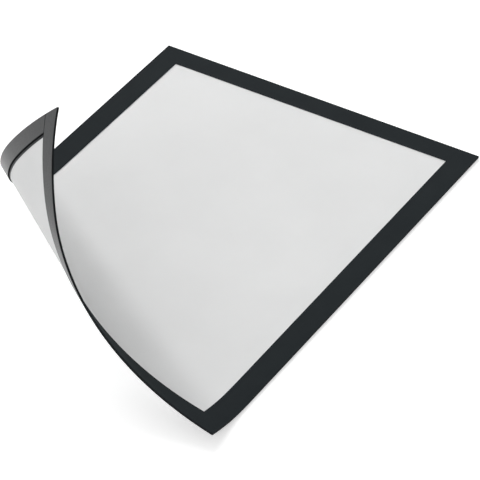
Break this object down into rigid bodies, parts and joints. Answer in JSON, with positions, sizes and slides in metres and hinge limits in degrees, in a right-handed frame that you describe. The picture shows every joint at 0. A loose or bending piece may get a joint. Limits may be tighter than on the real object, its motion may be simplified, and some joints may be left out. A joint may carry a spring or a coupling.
{
  "type": "magnetic display frame",
  "caption": "Thin flexible magnetic display frame: clear window film, plain dark border and magnet strips behind, with a corner peeled up and rolled over.",
  "frame": {"origin": "middle of the flat sheet, on the surface that the magnet strips lie on", "axes": "+Z out of the front, +Y along the long side away from the lifted corner's short edge, +X along the short side to the right seen from the front"},
  "size_m": [0.2365, 0.3228, 0.1169],
  "materials": {
    "film": "clear satin PVC film",
    "border": "matte charcoal",
    "magnet": "satin grey magnetic rubber"
  },
  "bodies": {
    "sheet": {"window_film": "film", "border_mask": "border", "far_strip": "magnet", "left_strip": "magnet", "right_strip": "magnet"},
    "leaf_1": {"window_film_1": "film", "border_mask_left_1": "border", "border_mask_near_1": "border", "near_strip_1": "magnet", "left_strip_1": "magnet", "right_strip_1": "magnet"},
    "leaf_2": {"window_film_2": "film", "border_mask_left_2": "border", "border_mask_near_2": "border", "near_strip_2": "magnet", "left_strip_2": "magnet"},
    "leaf_3": {"window_film_3": "film", "border_mask_left_3": "border", "border_mask_near_3": "border", "near_strip_3": "magnet", "left_strip_3": "magnet"},
    "leaf_4": {"window_film_4": "film", "border_mask_left_4": "border", "border_mask_near_4": "border", "near_strip_4": "magnet", "left_strip_4": "magnet"},
    "leaf_5": {"window_film_5": "film", "border_mask_left_5": "border", "border_mask_near_5": "border", "near_strip_5": "magnet", "left_strip_5": "magnet"},
    "leaf_6": {"window_film_6": "film", "border_mask_left_6": "border", "border_mask_near_6": "border", "near_strip_6": "magnet", "left_strip_6": "magnet"},
    "leaf_7": {"window_film_7": "film", "border_mask_left_7": "border", "border_mask_near_7": "border", "near_strip_7": "magnet", "left_strip_7": "magnet"},
    "leaf_8": {"window_film_8": "film", "border_mask_tip_8": "border", "near_strip_8": "magnet", "left_strip_8": "magnet"}
  },
  "joints": [
    {"name": "corner_peel", "type": "hinge", "parent": "sheet", "child": "leaf_1", "pos_m": [0.00008, -0.06342, 0.001], "axis": [-0.8476, 0.5307, 0], "range_deg": [-15, 7.5]},
    {"name": "corner_fold_2", "type": "hinge", "parent": "leaf_1", "child": "leaf_2", "pos_m": [-0.00054, -0.08208, 0.00533], "axis": [-0.8301, 0.5575, -0.0086], "range_deg": [-15, 7.5]},
    {"name": "corner_fold_3", "type": "hinge", "parent": "leaf_2", "child": "leaf_3", "pos_m": [-0.01762, -0.08768, 0.01341], "axis": [-0.8136, 0.5809, -0.0251], "range_deg": [-15, 7.5]},
    {"name": "corner_fold_4", "type": "hinge", "parent": "leaf_3", "child": "leaf_4", "pos_m": [-0.03173, -0.09158, 0.02454], "axis": [-0.7991, 0.5993, -0.0484], "range_deg": [-15, 7.5]},
    {"name": "corner_fold_5", "type": "hinge", "parent": "leaf_4", "child": "leaf_5", "pos_m": [-0.04268, -0.0933, 0.0379], "axis": [-0.7876, 0.6114, -0.077], "range_deg": [-15, 7.5]},
    {"name": "corner_fold_6", "type": "hinge", "parent": "leaf_5", "child": "leaf_6", "pos_m": [-0.05031, -0.09256, 0.05258], "axis": [-0.7799, 0.6163, -0.1087], "range_deg": [-15, 7.5]},
    {"name": "corner_fold_7", "type": "hinge", "parent": "leaf_6", "child": "leaf_7", "pos_m": [-0.05457, -0.08927, 0.06765], "axis": [-0.7766, 0.6139, -0.1415], "range_deg": [-15, 7.5]},
    {"name": "corner_fold_8", "type": "hinge", "parent": "leaf_7", "child": "leaf_8", "pos_m": [-0.05557, -0.0809, 0.08948], "axis": [-0.7782, 0.599, -0.1888], "range_deg": [-15, 7.5]}
  ],
  "couplings": [
    {"joint": "corner_fold_2", "follows": "corner_peel", "ratio": 1},
    {"joint": "corner_fold_3", "follows": "corner_peel", "ratio": 1},
    {"joint": "corner_fold_4", "follows": "corner_peel", "ratio": 1},
    {"joint": "corner_fold_5", "follows": "corner_peel", "ratio": 1},
    {"joint": "corner_fold_6", "follows": "corner_peel", "ratio": 1},
    {"joint": "corner_fold_7", "follows": "corner_peel", "ratio": 1},
    {"joint": "corner_fold_8", "follows": "corner_peel", "ratio": 1}
  ]
}
